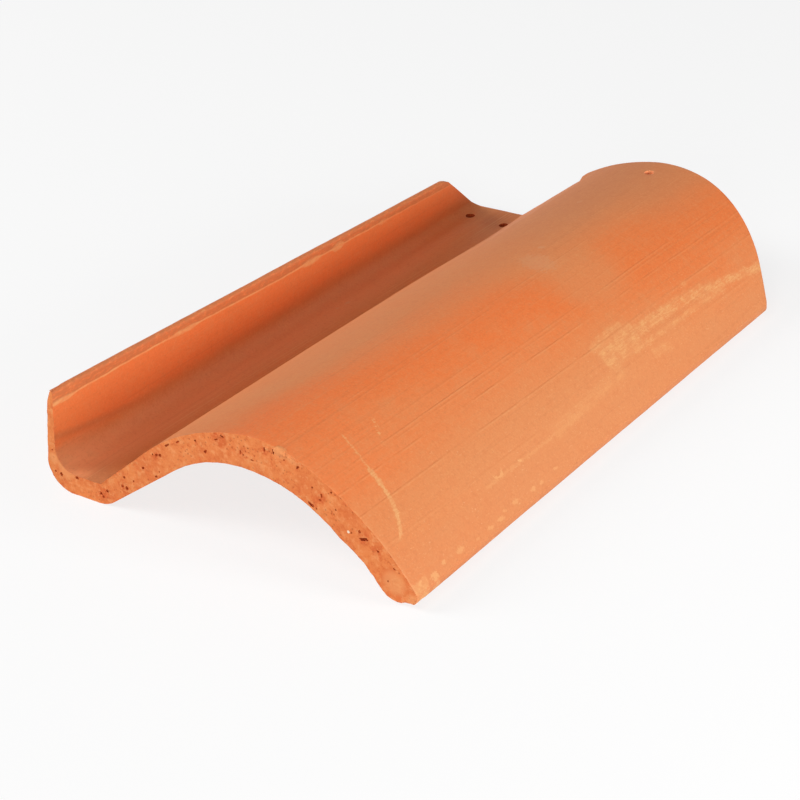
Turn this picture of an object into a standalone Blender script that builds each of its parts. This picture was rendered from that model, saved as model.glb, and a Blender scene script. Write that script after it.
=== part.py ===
"""Clay roof tile: a flat pan with an upturned rim on the left and a tall barrel on the right.

Metres, +Z up. X runs across the tile from the rim to the foot of the barrel and Y from the
tail end to the head end. The origin is the centre of the tile's footprint on the floor.
"""

import math

import bmesh
import bpy
from mathutils import Vector

# Overall size.
WIDTH = 0.260
LENGTH = 0.415

# Pan, from the rim's outer side to the valley beside the barrel.
PAN_THICKNESS = 0.013
PAN_WIDTH = 0.040
PAN_CORNER_RADIUS = 0.0168
PAN_BEND_RADIUS = 0.020

# Top of the barrel. Its shares are parts of the span from the valley to the tile's edge.
CREST_HEIGHT = 0.0748
CREST_DROP = 0.0030
CREST_SHARE = 0.547
CREST_RADIUS_SHARE = 0.348
PAN_SIDE_RADIUS_SHARE = 0.645
CREST_LEFT_ANGLE = math.radians(97.0)
CREST_RIGHT_ANGLE = math.radians(66.0)

# Hollow of the barrel.
CROWN_THICKNESS = 0.0203
UNDER_RADIUS_SHARE = 0.406
UNDER_OFFSET = 0.0092
UNDER_BEND_OFFSET = 0.0035
UNDER_BOW_SHARE = 0.0635

# Foot of the barrel.
FOOT_ROUND = 0.0095
FOOT_INSET = 0.0085
HEEL_FROM_EDGE = 0.012
HEEL_ROUND = 0.012
HEEL_SLOPE = math.radians(60.6)

# Rim at the tail and at the head: height, lean and the roundness of its inner corner.
RIM_TOP_THICKNESS = 0.0040
TAIL_RIM_HEIGHT = 0.0648
TAIL_RIM_TOP_X = 0.0087
TAIL_RIM_INNER_X = 0.0074
TAIL_INNER_RADIUS = 0.0125
HEAD_RIM_HEIGHT = 0.0474
HEAD_RIM_TOP_X = 0.0092
HEAD_RIM_INNER_X = 0.0056
HEAD_INNER_RADIUS = 0.0052

# Trimmed corners of the head end.
RIM_MITRE_LENGTH = 0.0425
RIM_MITRE_ROUND = 0.006
FOOT_CORNER_RADIUS = 0.0760
FOOT_CORNER_TURN = math.radians(42.0)
FOOT_CORNER_SIDE_INSET = 0.0076
FOOT_CORNER_END_RADIUS = 0.0040

# Nail holes: x from the rim's outer side and y back from the head end.
NAIL_HOLE_RADIUS = 0.0032
PAN_NAIL_HOLES = ((0.0125, 0.0170), (0.0420, 0.0200))
CREST_NAIL_HOLE = (0.1570, 0.0180)

# Fineness of the mesh, and how far the cutters reach past the tile.
LARGE_ARC_STEPS = 14
SMALL_ARC_STEPS = 6
BOW_STEPS = 4
LENGTH_STEPS = 6
HOLE_SIDES = 24
CLEARANCE = 0.010

CLAY = (0.62, 0.24, 0.10, 1.0)


def arc(centre, radius, start, end, steps):
    """Points along an arc, both ends included; angles from +X towards +Z."""
    points = []
    for index in range(steps + 1):
        angle = start + (end - start) * index / steps
        points.append((centre[0] + radius * math.cos(angle), centre[1] + radius * math.sin(angle)))
    return points


def tangent_angle(point, centre, radius, side):
    """Angle at which a line from a point touches an arc; side is 1 or -1."""
    run = point[0] - centre[0]
    rise = point[1] - centre[1]
    spread = math.acos(min(1.0, radius / math.hypot(run, rise)))
    return math.atan2(rise, run) + side * spread


def bowed(start, end, share):
    """Points after start on a line to end that bends to its left by a share of its length."""
    run, rise = end[0] - start[0], end[1] - start[1]
    points = []
    for step in range(1, BOW_STEPS + 1):
        part = step / BOW_STEPS
        out = 4 * share * part * (1 - part)
        points.append((start[0] + run * part - rise * out, start[1] + rise * part + run * out))
    return points


def barrel_span():
    """Width of the barrel from the valley to the tile's edge."""
    return WIDTH - PAN_WIDTH


def crest_x():
    """Distance of the barrel's crest from the rim's outer side."""
    return PAN_WIDTH + CREST_SHARE * barrel_span()


def rim_outside(top_x, height):
    """Outer wall of the rim from its top down to the rounded lower corner."""
    radius = PAN_CORNER_RADIUS
    half = RIM_TOP_THICKNESS / 2
    points = arc((top_x + half, height - half), half, math.radians(90), math.radians(180), SMALL_ARC_STEPS)
    points += arc((radius, radius), radius, math.radians(180), math.radians(270), SMALL_ARC_STEPS)
    return points


def underside(crest, inset):
    """Underside from the pan, through the hollow of the barrel, to the inside of the foot."""
    radius = UNDER_RADIUS_SHARE * barrel_span()
    centre = (crest_x() - UNDER_OFFSET, crest - CROWN_THICKNESS - radius)
    bend_x = PAN_WIDTH + UNDER_BEND_OFFSET
    down = math.radians(-90)
    heel_centre = (WIDTH - inset - HEEL_FROM_EDGE, HEEL_ROUND)
    heel = arc(heel_centre, HEEL_ROUND, down - HEEL_SLOPE, down, SMALL_ARC_STEPS)
    left = tangent_angle((bend_x, 0.0), centre, radius, -1)
    right = tangent_angle(heel[0], centre, radius, 1)
    slope = left - math.radians(90)
    bend_centre = (bend_x - PAN_BEND_RADIUS * math.tan(slope / 2), PAN_BEND_RADIUS)
    points = arc(bend_centre, PAN_BEND_RADIUS, down, down + slope, SMALL_ARC_STEPS)
    points += arc(centre, radius, left, right, LARGE_ARC_STEPS)
    points += bowed(points[-1], heel[0], UNDER_BOW_SHARE)
    points += heel[1:]
    return points


def barrel_top(crest, inset):
    """Top of the barrel from the foot over the crest to the valley beside the pan."""
    radius = CREST_RADIUS_SHARE * barrel_span()
    centre = (crest_x(), crest - radius)
    foot = (WIDTH - inset, FOOT_ROUND)
    points = shoulder(centre, radius, foot)
    points += arc(centre, radius, CREST_RIGHT_ANGLE, CREST_LEFT_ANGLE, LARGE_ARC_STEPS)[1:]
    pan_side = PAN_SIDE_RADIUS_SHARE * barrel_span()
    slip = pan_side - radius
    pan_side_centre = (
        centre[0] - slip * math.cos(CREST_LEFT_ANGLE),
        centre[1] - slip * math.sin(CREST_LEFT_ANGLE),
    )
    valley = (PAN_WIDTH, PAN_THICKNESS)
    flank = tangent_angle(valley, pan_side_centre, pan_side, -1)
    points += arc(pan_side_centre, pan_side, CREST_LEFT_ANGLE, flank, LARGE_ARC_STEPS)[1:]
    points.append(valley)
    return points


def shoulder(centre, radius, foot):
    """Arc from the foot's outer side that runs smoothly into the crest's arc."""
    toward = (math.cos(CREST_RIGHT_ANGLE), math.sin(CREST_RIGHT_ANGLE))
    run = foot[0] - centre[0]
    rise = foot[1] - centre[1]
    along = run * toward[0] + rise * toward[1]
    slip = (run * run + rise * rise - radius * radius) / (2 * (radius - along))
    arc_centre = (centre[0] - slip * toward[0], centre[1] - slip * toward[1])
    start = math.atan2(foot[1] - arc_centre[1], foot[0] - arc_centre[0])
    return arc(arc_centre, radius + slip, start, CREST_RIGHT_ANGLE, LARGE_ARC_STEPS)


def rim_inside(top_x, height, inner_x, radius):
    """Pan floor's rounded inner corner and the rim's inner wall up to its top."""
    half = RIM_TOP_THICKNESS / 2
    centre = (inner_x + radius, PAN_THICKNESS + radius)
    points = arc(centre, radius, math.radians(270), math.radians(180), SMALL_ARC_STEPS)
    points += arc((top_x + half, height - half), half, 0.0, math.radians(90), SMALL_ARC_STEPS)[:-1]
    return points


def section(rim, crest, inset):
    """Closed outline of the tile across its width, as (x, z) points."""
    height, top_x, inner_x, radius = rim
    foot_centre = (WIDTH - inset - FOOT_ROUND, FOOT_ROUND)
    points = rim_outside(top_x, height)
    points += underside(crest, inset)
    points += arc(foot_centre, FOOT_ROUND, math.radians(-90), 0.0, SMALL_ARC_STEPS)[:-1]
    points += barrel_top(crest, inset)
    points += rim_inside(top_x, height, inner_x, radius)
    return points


def mesh_object(name, bm, collection):
    """Makes an object of a finished mesh."""
    bmesh.ops.recalc_face_normals(bm, faces=bm.faces)
    mesh = bpy.data.meshes.new(name)
    bm.to_mesh(mesh)
    bm.free()
    item = bpy.data.objects.new(name, mesh)
    collection.objects.link(item)
    return item


def blank(collection):
    """Tile before trimming: a loft from the tail's section to the head's."""
    tail_rim = (TAIL_RIM_HEIGHT, TAIL_RIM_TOP_X, TAIL_RIM_INNER_X, TAIL_INNER_RADIUS)
    head_rim = (HEAD_RIM_HEIGHT, HEAD_RIM_TOP_X, HEAD_RIM_INNER_X, HEAD_INNER_RADIUS)
    tail = section(tail_rim, CREST_HEIGHT, 0.0)
    head = section(head_rim, CREST_HEIGHT - CREST_DROP, FOOT_INSET)
    bm = bmesh.new()
    rings = []
    for step in range(LENGTH_STEPS + 1):
        part = step / LENGTH_STEPS
        y = LENGTH * part - LENGTH / 2
        ring = []
        for near, far in zip(tail, head):
            x = near[0] + (far[0] - near[0]) * part - WIDTH / 2
            z = near[1] + (far[1] - near[1]) * part
            ring.append(bm.verts.new((x, y, z)))
        rings.append(ring)
    for near, far in zip(rings, rings[1:]):
        for index in range(len(near)):
            follow = (index + 1) % len(near)
            bm.faces.new((near[index], near[follow], far[follow], far[index]))
    bm.faces.new(rings[0])
    bm.faces.new(rings[-1])
    tile = mesh_object("roof_tile", bm, collection)
    tile.data.shade_smooth()
    tile.data.set_sharp_from_angle(angle=math.radians(30))
    return tile


def prism(name, outline, depth, collection):
    """Straight block swept from an outline along a vector."""
    bm = bmesh.new()
    face = bm.faces.new([bm.verts.new(point) for point in outline])
    swept = bmesh.ops.extrude_face_region(bm, geom=[face])
    moved = [item for item in swept["geom"] if isinstance(item, bmesh.types.BMVert)]
    bmesh.ops.translate(bm, vec=depth, verts=moved)
    return mesh_object(name, bm, collection)


def rim_mitre(collection):
    """Cutter for the slanting head end of the rim."""
    left = -WIDTH / 2 - CLEARANCE
    end_y = LENGTH / 2
    floor = PAN_THICKNESS
    part = 1 - RIM_MITRE_LENGTH / LENGTH
    top = TAIL_RIM_HEIGHT + (HEAD_RIM_HEIGHT - TAIL_RIM_HEIGHT) * part
    start_y = end_y - RIM_MITRE_LENGTH
    half = RIM_MITRE_ROUND / 2
    slope = (top - floor) / RIM_MITRE_LENGTH
    above = TAIL_RIM_HEIGHT + CLEARANCE
    outline = [
        (left, start_y - RIM_MITRE_ROUND, top + half / 8),
        (left, start_y - half / 2, top - half / 4),
        (left, start_y + half, top - half * slope),
        (left, end_y, floor),
        (left, end_y + CLEARANCE, floor),
        (left, end_y + CLEARANCE, above),
        (left, start_y - RIM_MITRE_ROUND, above),
    ]
    return prism("rim_mitre_cutter", outline, Vector((PAN_WIDTH, 0, 0)), collection)


def foot_corner(collection):
    """Cutter for the head corner of the barrel's foot: a round that runs out straight to the side."""
    radius = FOOT_CORNER_RADIUS
    end_radius = FOOT_CORNER_END_RADIUS
    centre = (WIDTH / 2 - radius, LENGTH / 2 - radius)
    run = WIDTH / 2 - FOOT_CORNER_SIDE_INSET - end_radius - centre[0]
    rise = (radius - end_radius - run * math.cos(FOOT_CORNER_TURN)) / math.sin(FOOT_CORNER_TURN)
    end_centre = (centre[0] + run, centre[1] + rise)
    points = arc(end_centre, end_radius, 0.0, FOOT_CORNER_TURN, SMALL_ARC_STEPS)
    points += arc(centre, radius, FOOT_CORNER_TURN, math.radians(90), LARGE_ARC_STEPS)
    low = -CLEARANCE
    outline = [(x, y, low) for x, y in points]
    outline += [
        (centre[0], LENGTH / 2 + CLEARANCE, low),
        (WIDTH / 2 + CLEARANCE, LENGTH / 2 + CLEARANCE, low),
        (WIDTH / 2 + CLEARANCE, end_centre[1], low),
    ]
    return prism("foot_corner_cutter", outline, Vector((0, 0, CREST_HEIGHT + 2 * CLEARANCE)), collection)


def nail_hole(name, place, collection):
    """Cutter for one nail hole."""
    bm = bmesh.new()
    bmesh.ops.create_cone(
        bm,
        cap_ends=True,
        segments=HOLE_SIDES,
        radius1=NAIL_HOLE_RADIUS,
        radius2=NAIL_HOLE_RADIUS,
        depth=CREST_HEIGHT + 2 * CLEARANCE,
    )
    cutter = mesh_object(name, bm, collection)
    cutter.location = (place[0] - WIDTH / 2, LENGTH / 2 - place[1], CREST_HEIGHT / 2)
    return cutter


def cut(target, cutter):
    """Takes a cutter away from the tile."""
    cutter.hide_render = True
    cutter.display_type = "WIRE"
    modifier = target.modifiers.new(cutter.name, "BOOLEAN")
    modifier.operation = "DIFFERENCE"
    modifier.solver = "EXACT"
    modifier.object = cutter


def clay():
    """Matt fired clay."""
    material = bpy.data.materials.new("fired_clay")
    material.use_nodes = True
    shader = material.node_tree.nodes["Principled BSDF"]
    shader.inputs["Base Color"].default_value = CLAY
    shader.inputs["Roughness"].default_value = 0.9
    shader.inputs["Metallic"].default_value = 0.0
    return material


def main():
    for item in list(bpy.data.objects):
        bpy.data.objects.remove(item)
    parts = bpy.data.collections.new("clay_roof_tile")
    cutters = bpy.data.collections.new("cutters")
    for collection in (parts, cutters):
        bpy.context.scene.collection.children.link(collection)
    tile = blank(parts)
    tile.data.materials.append(clay())
    cut(tile, rim_mitre(cutters))
    cut(tile, foot_corner(cutters))
    for index, place in enumerate(PAN_NAIL_HOLES + (CREST_NAIL_HOLE,), 1):
        cut(tile, nail_hole(f"nail_hole_{index}_cutter", place, cutters))


main()
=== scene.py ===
"""Dresses the imported clay roof tile: a one-piece fired clay tile lying on a pale studio floor.

Metres, +Z up. X runs across the tile from the rim to the foot of the barrel and Y from the
tail end to the head end.
"""

from __future__ import annotations

import logging
import math
import random
from collections.abc import Iterable
from dataclasses import dataclass, field
from enum import Enum
from functools import cache, cached_property, reduce

import bpy
from mathutils import Euler, Matrix, Vector, noise

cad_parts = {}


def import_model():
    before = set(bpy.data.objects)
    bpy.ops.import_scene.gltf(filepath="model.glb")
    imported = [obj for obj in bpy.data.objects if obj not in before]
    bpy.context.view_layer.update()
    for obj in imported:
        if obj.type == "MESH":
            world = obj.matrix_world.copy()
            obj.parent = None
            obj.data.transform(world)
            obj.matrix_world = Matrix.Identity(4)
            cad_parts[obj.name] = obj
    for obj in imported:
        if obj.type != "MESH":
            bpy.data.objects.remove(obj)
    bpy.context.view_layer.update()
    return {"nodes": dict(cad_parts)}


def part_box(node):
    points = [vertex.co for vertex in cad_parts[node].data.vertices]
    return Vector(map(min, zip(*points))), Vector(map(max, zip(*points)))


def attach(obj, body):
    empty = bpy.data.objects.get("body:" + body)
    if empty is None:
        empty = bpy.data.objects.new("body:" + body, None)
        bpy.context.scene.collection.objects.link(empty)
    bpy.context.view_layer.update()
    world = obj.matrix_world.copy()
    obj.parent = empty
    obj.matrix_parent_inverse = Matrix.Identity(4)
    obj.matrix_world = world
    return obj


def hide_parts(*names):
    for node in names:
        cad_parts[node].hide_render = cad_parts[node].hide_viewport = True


LOG = logging.getLogger("clay_roof_tile")
MM = 0.001
WHITE = (1.0, 1.0, 1.0, 1.0)
Pair = tuple[float, float]
Triple = tuple[float, float, float]
Colour = tuple[float, float, float, float]
Route = tuple[Pair, ...]


class Side(Enum):
    """Parts of the tile's surface that are finished differently."""

    SKIN = "fired_skin"
    CUT = "wire_cut_clay"
    # Painted shade: pores and the nail holes' walls get a dark colour for the shade inside them.
    PIT = "pore_shade"

    @property
    def slot(self) -> int:
        """Number of the side's material on the tile."""
        return list(Side).index(self)


@cache
def tile_box() -> tuple[Vector, Vector]:
    """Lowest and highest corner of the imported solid."""
    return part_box("roof_tile")


def tile_point(across: float, along: float, height: float) -> Vector:
    """Turns a place on the tile into a point.

    Args:
        across: Millimetres from the rim's outer side.
        along: Millimetres from the tail end.
        height: Millimetres above the floor.

    Returns:
        The point in metres.
    """
    low, _ = tile_box()
    return Vector((low.x + across * MM, low.y + along * MM, low.z + height * MM))


def smooth(value: float, low: float, high: float) -> float:
    """Smooth step from 0 at low to 1 at high.

    Args:
        value: The value.
        low: Where the step leaves 0.
        high: Where the step reaches 1.

    Returns:
        The step.
    """
    part = min(1.0, max(0.0, (value - low) / (high - low)))
    return part * part * (3.0 - 2.0 * part)


def direction(turn: float, rise: float) -> Vector:
    """Direction from the tile's middle to a lamp or the camera.

    Args:
        turn: Radians from the tail end's side towards the barrel's.
        rise: Radians above the floor.

    Returns:
        The direction, of length 1.
    """
    flat = math.cos(rise)
    return Vector((math.sin(turn) * flat, -math.cos(turn) * flat, math.sin(rise)))


def strongest(values: Iterable[Socket]) -> Socket:
    """Largest of several values."""
    return reduce(Socket.most, values)


class Socket:
    """A shader socket that takes part in Python arithmetic."""

    def __init__(self, tree: ShaderTree, output: bpy.types.NodeSocket) -> None:
        """Wraps a socket.

        Args:
            tree: The tree that the socket belongs to.
            output: The output socket of a node.
        """
        self.tree = tree
        self.output = output

    def __add__(self, other: Socket | float) -> Socket:
        """Sum."""
        return self.tree.maths("ADD", self, other)

    __radd__ = __add__

    def __sub__(self, other: Socket | float) -> Socket:
        """Difference."""
        return self.tree.maths("SUBTRACT", self, other)

    def __rsub__(self, other: float) -> Socket:
        """Difference with a number on the left."""
        return self.tree.maths("SUBTRACT", other, self)

    def __mul__(self, other: Socket | float) -> Socket:
        """Product."""
        return self.tree.maths("MULTIPLY", self, other)

    __rmul__ = __mul__

    def __truediv__(self, other: Socket | float) -> Socket:
        """Quotient."""
        return self.tree.maths("DIVIDE", self, other)

    def __abs__(self) -> Socket:
        """Size without sign."""
        return self.tree.maths("ABSOLUTE", self, 0.0)

    def most(self, other: Socket | float) -> Socket:
        """Larger of two values."""
        return self.tree.maths("MAXIMUM", self, other)

    def step(self, low: float, high: float) -> Socket:
        """Smooth step from 0 at low to 1 at high, or the other way round.

        Args:
            low: Value at which the step leaves 0.
            high: Value at which the step reaches 1; it may lie below low.

        Returns:
            The step, from 0 to 1.
        """
        if low > high:
            return 1.0 - self.step(high, low)
        values = {"Value": self, "From Min": low, "From Max": high}
        ranged = self.tree.node("ShaderNodeMapRange", values, {"interpolation_type": "SMOOTHSTEP"})
        return Socket(self.tree, ranged.outputs["Result"])


class ShaderTree:
    """Builds the nodes of a material or a world."""

    def __init__(self, owner: bpy.types.Material | bpy.types.World) -> None:
        """Empties the owner's nodes and gives it an output.

        Args:
            owner: The material or the world.
        """
        owner.use_nodes = True
        self.owner = owner
        self.nodes = owner.node_tree.nodes
        self.links = owner.node_tree.links
        self.nodes.clear()
        kind = "World" if isinstance(owner, bpy.types.World) else "Material"
        self.output = self.nodes.new(f"ShaderNodeOutput{kind}")
        self.colour: object = WHITE

    @cached_property
    def place(self) -> bpy.types.NodeSocket:
        """Place on the piece in metres."""
        return self.nodes.new("ShaderNodeTexCoord").outputs["Object"]

    @cached_property
    def places(self) -> tuple[Socket, ...]:
        """Measures the place on the tile.

        Returns:
            Millimetres from the rim's outer side, from the tail end and above the floor.
        """
        low, _ = tile_box()
        split = self.node("ShaderNodeSeparateXYZ", {0: self.place})
        return tuple((Socket(self, end) - start) / MM for end, start in zip(split.outputs, low))

    def node(
        self,
        kind: str,
        values: dict[str | int, object] | None = None,
        settings: dict[str, object] | None = None,
    ) -> bpy.types.Node:
        """Adds one node.

        Args:
            kind: The node's type.
            values: Values or links of its sockets, by name or number.
            settings: Its own settings, set before its sockets.

        Returns:
            The node.
        """
        node = self.nodes.new(kind)
        for name, value in (settings or {}).items():
            setattr(node, name, value)
        for name, value in (values or {}).items():
            self.feed(node.inputs[name], value)
        return node

    def feed(self, socket: bpy.types.NodeSocket, value: object) -> None:
        """Links or sets an input socket.

        Args:
            socket: The input.
            value: A socket, a wrapped socket, a number or a tuple.
        """
        if isinstance(value, Socket):
            self.links.new(value.output, socket)
        elif isinstance(value, bpy.types.NodeSocket):
            self.links.new(value, socket)
        else:
            socket.default_value = value

    def maths(self, operation: str, first: Socket | float, second: Socket | float) -> Socket:
        """Adds a Math node.

        Args:
            operation: The node's operation.
            first: First value.
            second: Second value.

        Returns:
            The result.
        """
        node = self.node("ShaderNodeMath", {0: first, 1: second}, {"operation": operation})
        return Socket(self, node.outputs[0])

    def cloud(
        self, scale: float, detail: float = 3.0, roughness: float = 0.5, stretch: Triple | None = None
    ) -> Socket:
        """Cloudy noise around one half.

        Args:
            scale: Patches a metre.
            detail: Octaves.
            roughness: Strength of the finer octaves.
            stretch: Scale along each axis, if it differs.

        Returns:
            The noise, from 0 to 1.
        """
        vector = self.place
        if stretch:
            vector = self.node("ShaderNodeMapping", {"Vector": vector, "Scale": stretch}).outputs[0]
        values = {"Vector": vector, "Scale": scale, "Detail": detail, "Roughness": roughness}
        return Socket(self, self.node("ShaderNodeTexNoise", values).outputs[0])

    def lay(self, share: Socket | float, tint: Colour) -> None:
        """Lays a colour over what is there.

        Args:
            share: Share of the new colour.
            tint: The new colour.
        """
        settings = {"data_type": "RGBA", "clamp_factor": True}
        values = {0: share, 6: self.colour, 7: tint}
        self.colour = self.node("ShaderNodeMix", values, settings).outputs[2]

    def curve(self, value: Socket, points: Route) -> Socket:
        """Looks a value up on a smooth curve.

        Args:
            value: The value.
            points: Corners of the curve, in rising order of the first number.

        Returns:
            The curve's value there.
        """
        first, last = points[0][0], points[-1][0]
        low = min(height for _, height in points)
        high = max(height for _, height in points)
        rise = (high - low) or 1.0
        node = self.nodes.new("ShaderNodeFloatCurve")
        line = node.mapping.curves[0]
        while len(line.points) < len(points):
            line.points.new(0.5, 0.5)
        for corner, (place, height) in zip(line.points, points):
            corner.location = ((place - first) / (last - first), (height - low) / rise)
        node.mapping.update()
        self.feed(node.inputs["Value"], (value - first) / (last - first))
        return Socket(self, node.outputs[0]) * rise + low

    def finish(
        self, roughness: Socket | float, relief: Socket, bump: Pair, specular: float
    ) -> bpy.types.Material:
        """Joins everything in a surface shader.

        Args:
            roughness: Roughness.
            relief: Height of the fine relief, from 0 to 1.
            bump: What a height of 1 stands for in metres, and the relief's strength.
            specular: Specular level.

        Returns:
            The material.
        """
        heights = {"Height": relief, "Distance": bump[0], "Strength": bump[1]}
        values = {
            "Base Color": self.colour,
            "Roughness": roughness,
            "Normal": self.node("ShaderNodeBump", heights).outputs[0],
            "Specular IOR Level": specular,
        }
        shader = self.node("ShaderNodeBsdfPrincipled", values)
        self.links.new(shader.outputs[0], self.output.inputs[0])
        return self.owner


@dataclass(frozen=True)
class Zone:
    """Stretch of the skin with a colour of its own.

    An edge is two places in millimetres: where the colour begins and where it is full.
    """

    colour: Colour
    strength: float
    across: Route = ()
    along: Route = ()
    height: Route = ()

    def lay(self, tree: ShaderTree, warmth: Socket | float = 1.0) -> None:
        """Lays the zone's colour over what is there.

        Args:
            tree: The material's nodes.
            warmth: Factor on the zone's strength.
        """
        share = warmth * self.strength
        for place, edges in zip(tree.places, (self.across, self.along, self.height)):
            for start, full in edges:
                share = place.step(start, full) * share
        tree.lay(share, self.colour)


@dataclass(frozen=True)
class Spot:
    """Ragged spot on the skin: its middle and its two radii in millimetres, and its strength."""

    across: float
    along: float
    wide: float
    tall: float
    strength: float

    def share(self, tree: ShaderTree, ragged: Socket) -> Socket:
        """Strength of the spot.

        Args:
            tree: The material's nodes.
            ragged: Noise that breaks the outline.

        Returns:
            The strength, from 0 to the spot's own.
        """
        across, along, _ = tree.places
        right, ahead = (across - self.across) / self.wide, (along - self.along) / self.tall
        return (right * right + ahead * ahead + ragged).step(1.1, 0.2) * self.strength


@dataclass(frozen=True)
class Stroke:
    """Mark that follows a line: its corners and half its width in millimetres, and its strength."""

    route: Route
    half_width: float
    strength: float = 1.0

    def share(self, tree: ShaderTree, forward: Socket, sideways: Socket) -> Socket:
        """Strength of the mark.

        Args:
            tree: The material's nodes.
            forward: Place in the direction that the mark runs.
            sideways: Place in the other direction.

        Returns:
            The strength, from 0 to the mark's own.
        """
        first, last = self.route[0][0], self.route[-1][0]
        ends = forward.step(first - 1.0, first + 1.5) * forward.step(last + 1.0, last - 1.5)
        away = abs(sideways - tree.curve(forward, self.route)) / self.half_width
        return away.step(1.0, 0.35) * ends * self.strength


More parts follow.
